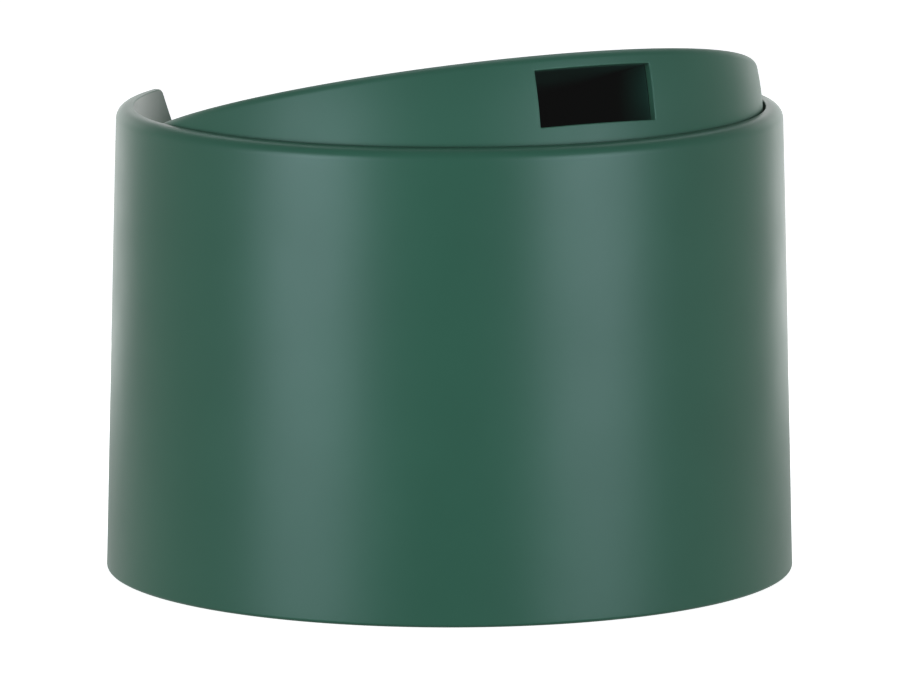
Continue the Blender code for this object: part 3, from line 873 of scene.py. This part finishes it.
def build_funnel(material):
    """Cone with a rolled throat, a rim flange, vents and two finger grips."""
    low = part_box("funnel")[0].z
    flange = 0.0482
    top = 0.0500
    grip_radius = 0.0610
    grip_half_thickness = 0.0011
    grip_half_width = 0.0080
    grip_top = 0.0570
    vent_radius = 0.0015
    cone_radius = 0.0648
    cone_bore = 0.0639
    throat_radius = 0.0138
    throat_bore = 0.0120
    outline = rounded([
        (POT_RIM_RADIUS, top, 0.0006),
        (POT_RIM_RADIUS, flange, 0.0006),
        (cone_radius, flange, 0.0010),
        (throat_radius, low + 0.0020, 0.0030),
        (throat_radius, low, 0.0006),
        (throat_bore, low, 0.0006),
        (throat_bore, low + 0.0038, 0.0030),
        (cone_bore, top, 0.0012),
    ], closed=True)
    funnel = revolved("funnel_cone", outline, 160, closed=True, weighted=False)
    grips = []
    for side in (-1, 1):
        middle = side * grip_radius
        grips.append(((middle - grip_half_thickness, -grip_half_width, flange),
                      (middle + grip_half_thickness, grip_half_width, grip_top)))
    combine(funnel, blocks("grips", grips, 0.0007), "UNION")
    combine(funnel, pins("vents", vent_centres(), vent_radius, low, top, steps=32), "DIFFERENCE")
    funnel.data.set_sharp_from_angle(angle=math.radians(40))
    add_weighted_normals(funnel)
    settle(funnel, material, "funnel_insert", "clear_plastic", "funnel")


# ----------------------------------------------------------------------- bait

def build_cup(material):
    """Bait cup with rounded lip and foot."""
    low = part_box("bait_cup")[0].z
    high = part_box("bait_cup")[1].z
    floor = low + 0.0015
    radius = 0.0200
    bore = 0.0185
    outline = rounded([
        (0.0, floor, 0.0),
        (bore, floor, 0.0010),
        (bore, high, 0.0004),
        (radius, high, 0.0006),
        (radius, low, 0.0010),
        (0.0, low, 0.0),
    ])
    cup = revolved("cup_shell", outline, 128)
    settle(cup, material, "cup", "yellow_plastic", "bait_cup")


def build_sponge(material):
    """Round sponge with an uneven, porous skin."""
    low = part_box("bait_sponge")[0].z
    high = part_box("bait_sponge")[1].z
    radius = 0.0178
    fillet = 0.0009
    pores_per_metre = 900.0
    deepest_dent = 0.022
    shares = (0.0, 0.15, 0.3, 0.45, 0.6, 0.75, 0.88)
    outline = [(radius * share, high) for share in shares]
    outline += arc((radius - fillet, high - fillet), fillet, 90, 0, 4)
    outline += [(radius, high + (low - high) * share) for share in (0.3, 0.4, 0.5, 0.6, 0.7)]
    outline += arc((radius - fillet, low + fillet), fillet, 0, -90, 4)
    outline += [(radius * share, low) for share in reversed(shares)]
    sponge = revolved("sponge_pad", outline, 128, weighted=False)
    middle = Vector((0.0, 0.0, (low + high) / 2))
    for vertex in sponge.data.vertices:
        dent = 0.5 + 0.5 * noise.noise(vertex.co * pores_per_metre)
        vertex.co = vertex.co.lerp(middle, deepest_dent * dent)
    settle(sponge, material, "cup", "sponge_foam", "bait_sponge")


def cap_hole_centres():
    """Middle hole and the rings of holes around it."""
    centres = []
    for radius, count in ((0.0, 1), (0.0075, 6), (0.0140, 12)):
        for index in range(count):
            turn = math.tau * index / count
            centres.append((radius * math.cos(turn), radius * math.sin(turn)))
    return centres


def build_cap(material):
    """Perforated cap with a ribbed skirt for the fingers."""
    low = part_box("bait_cup_cap")[0].z
    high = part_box("bait_cup_cap")[1].z
    radius = 0.0219
    bore = 0.0205
    under = high - 0.0016
    rib_top = high - 0.0012
    rib_foot = low + 0.0006
    rib_count = 48
    rib_depth = 0.0004
    hole_radius = 0.0015

    def ribbed(reach, height, angle):
        """Sink the skirt's outside between its ribs."""
        if reach < radius - 0.0001 or height > rib_top or height < rib_foot:
            return reach
        return reach - rib_depth * (0.5 + 0.5 * math.cos(rib_count * angle))

    outline = rounded([
        (0.0, high, 0.0),
        (radius, high, 0.0010),
        (radius, low, 0.0005),
        (bore, low, 0.0003),
        (bore, under, 0.0006),
        (0.0, under, 0.0),
    ])
    foot = next(index for index, point in enumerate(outline) if point[1] < rib_foot)
    rows = [(radius, rib_top + (rib_foot - rib_top) * step / 6) for step in range(7)]
    outline = outline[:foot] + rows + outline[foot:]
    cap = revolved("cap_shell", outline, 384, wave=ribbed, weighted=False)
    reach = (under - CUT_PAST, high + CUT_PAST)
    holes = pins("cap_holes", cap_hole_centres(), hole_radius, *reach, steps=32)
    combine(cap, holes, "DIFFERENCE")
    cap.data.set_sharp_from_angle(angle=math.radians(40))
    add_weighted_normals(cap)
    settle(cap, material, "cup_cap", "yellow_plastic", "bait_cup_cap")


# ---------------------------------------------------------- camera and studio

def direction(azimuth, elevation=0.0):
    """Unit vector; azimuth 0 points to -Y and grows towards +X."""
    flat = math.cos(elevation)
    return Vector((flat * math.sin(azimuth), -flat * math.cos(azimuth), math.sin(elevation)))


def make_camera():
    """Long-lens camera in front and to the left of the entrance."""
    data = bpy.data.cameras.new("camera")
    data.sensor_width = SENSOR_WIDTH
    data.lens = CAMERA_LENS
    data.clip_start = 0.1
    data.clip_end = 50.0
    camera = bpy.data.objects.new("camera", data)
    out = direction(CAMERA_AZIMUTH, CAMERA_ELEVATION)
    camera.location = AIM + out * CAMERA_DISTANCE
    camera.rotation_euler = (-out).to_track_quat("-Z", "Y").to_euler()
    bpy.context.scene.collection.objects.link(camera)
    bpy.context.scene.camera = camera


def make_softbox(name, angle, distance, width, height, middle, power, colour):
    """Rectangular softbox that faces the trap, unseen by the camera.

    It stands upright, unless it hangs higher than it is far off: then it tips towards the trap.
    """
    data = bpy.data.lights.new(name, "AREA")
    data.shape = "RECTANGLE"
    data.size = width
    data.size_y = height
    data.energy = power
    data.color = colour
    lamp = bpy.data.objects.new(name, data)
    out = direction(CAMERA_AZIMUTH + math.radians(angle))
    lamp.location = out * distance + Vector((0.0, 0.0, middle))
    hangs = middle > distance
    facing = lamp.location - AIM if hangs else out
    lamp.rotation_euler = (-facing).to_track_quat("-Z", "Y").to_euler()
    lamp.visible_camera = False
    bpy.context.scene.collection.objects.link(lamp)


def make_world():
    """Pale surround, dim behind the camera and bright behind the trap."""
    world = bpy.data.worlds.new("studio")
    bpy.context.scene.world = world
    world.use_nodes = True
    tree = world.node_tree
    place = tree.nodes.new("ShaderNodeTexCoord")
    facing = tree.nodes.new("ShaderNodeVectorMath")
    facing.operation = "DOT_PRODUCT"
    facing.inputs[1].default_value = direction(CAMERA_AZIMUTH)
    share = tree.nodes.new("ShaderNodeMapRange")
    share.inputs["From Min"].default_value = 1.0
    share.inputs["From Max"].default_value = -1.0
    rise = tree.nodes.new("ShaderNodeMath")
    rise.operation = "POWER"
    rise.inputs[1].default_value = SURROUND_POWER
    split = tree.nodes.new("ShaderNodeSeparateXYZ")
    level = tree.nodes.new("ShaderNodeMapRange")
    level.inputs["From Min"].default_value = SURROUND_REACH[0]
    level.inputs["From Max"].default_value = SURROUND_REACH[1]
    level.inputs["To Min"].default_value = SURROUND_LOW
    level.inputs["To Max"].default_value = SURROUND_HIGH
    strength = tree.nodes.new("ShaderNodeMath")
    strength.operation = "MULTIPLY"
    tree.links.new(place.outputs["Generated"], facing.inputs[0])
    tree.links.new(place.outputs["Generated"], split.inputs[0])
    tree.links.new(facing.outputs["Value"], share.inputs["Value"])
    tree.links.new(share.outputs["Result"], rise.inputs[0])
    tree.links.new(split.outputs["Z"], level.inputs["Value"])
    tree.links.new(rise.outputs["Value"], strength.inputs[0])
    tree.links.new(level.outputs["Result"], strength.inputs[1])
    tree.links.new(strength.outputs["Value"], tree.nodes["Background"].inputs["Strength"])
    tree.nodes["Background"].inputs["Color"].default_value = (1.0, 1.0, 1.0, 1.0)


def make_floor():
    """Wide pale floor that the trap stands on."""
    shape = bmesh.new()
    bmesh.ops.create_circle(shape, cap_ends=True, segments=96, radius=FLOOR_RADIUS)
    floor = finished("floor", shape, weighted=False)
    floor.location.z = -FLOOR_DROP
    nodes = Nodes("floor_paint")
    nodes.set(Base_Color=(0.86, 0.86, 0.86, 1.0), Roughness=0.9)
    nodes.set(Emission_Color=(1.0, 1.0, 1.0, 1.0), Emission_Strength=FLOOR_GLOW)
    floor.data.materials.append(nodes.material)
    floor.visible_glossy = False
    floor.visible_diffuse = False
    floor.visible_shadow = False


def make_studio():
    """Camera, floor, surround and lights."""
    make_camera()
    make_world()
    make_floor()
    for softbox in SOFTBOXES:
        make_softbox(*softbox)
    view = bpy.context.scene.view_settings
    view.view_transform = "Standard"
    view.use_curve_mapping = True
    view.curve_mapping.black_level = (-VEIL, -VEIL, -VEIL)
    view.curve_mapping.update()


def build_pieces():
    """Make the materials and every piece."""
    # Each pair gives a plastic's colour and the paler colour painted on its sharp edges as a
    # painted highlight.
    green_colours = ((0.046, 0.155, 0.093), (0.075, 0.200, 0.130))
    green = moulded_plastic("green_satin", *green_colours, 0.38, 0.02, 0.000006)
    lid_green = moulded_plastic("green_satin_lid", *green_colours, 0.48, 0.02, 0.000006)
    dark_colours = ((0.012, 0.060, 0.040), (0.03, 0.10, 0.07))
    dark = moulded_plastic("dark_green_satin", *dark_colours, 0.42, 0.03, 0.000006)
    yellow_colours = ((0.75, 0.46, 0.02), (0.85, 0.62, 0.15))
    yellow = moulded_plastic("yellow_satin", *yellow_colours, 0.32, 0.03, 0.000005)
    clear = clear_plastic("natural_clear", (0.86, 0.92, 0.88), 0.12)
    zinc = zinc_steel("zinc_steel")
    build_housing(green)
    build_lid(lid_green)
    build_tunnel(dark)
    build_screws(zinc)
    build_base(dark)
    build_pot(clear)
    build_seal(rubber("seal_rubber"))
    build_funnel(clear)
    build_cup(yellow)
    build_sponge(foam("bait_foam"))
    build_cap(yellow)


make_studio()
build_pieces()
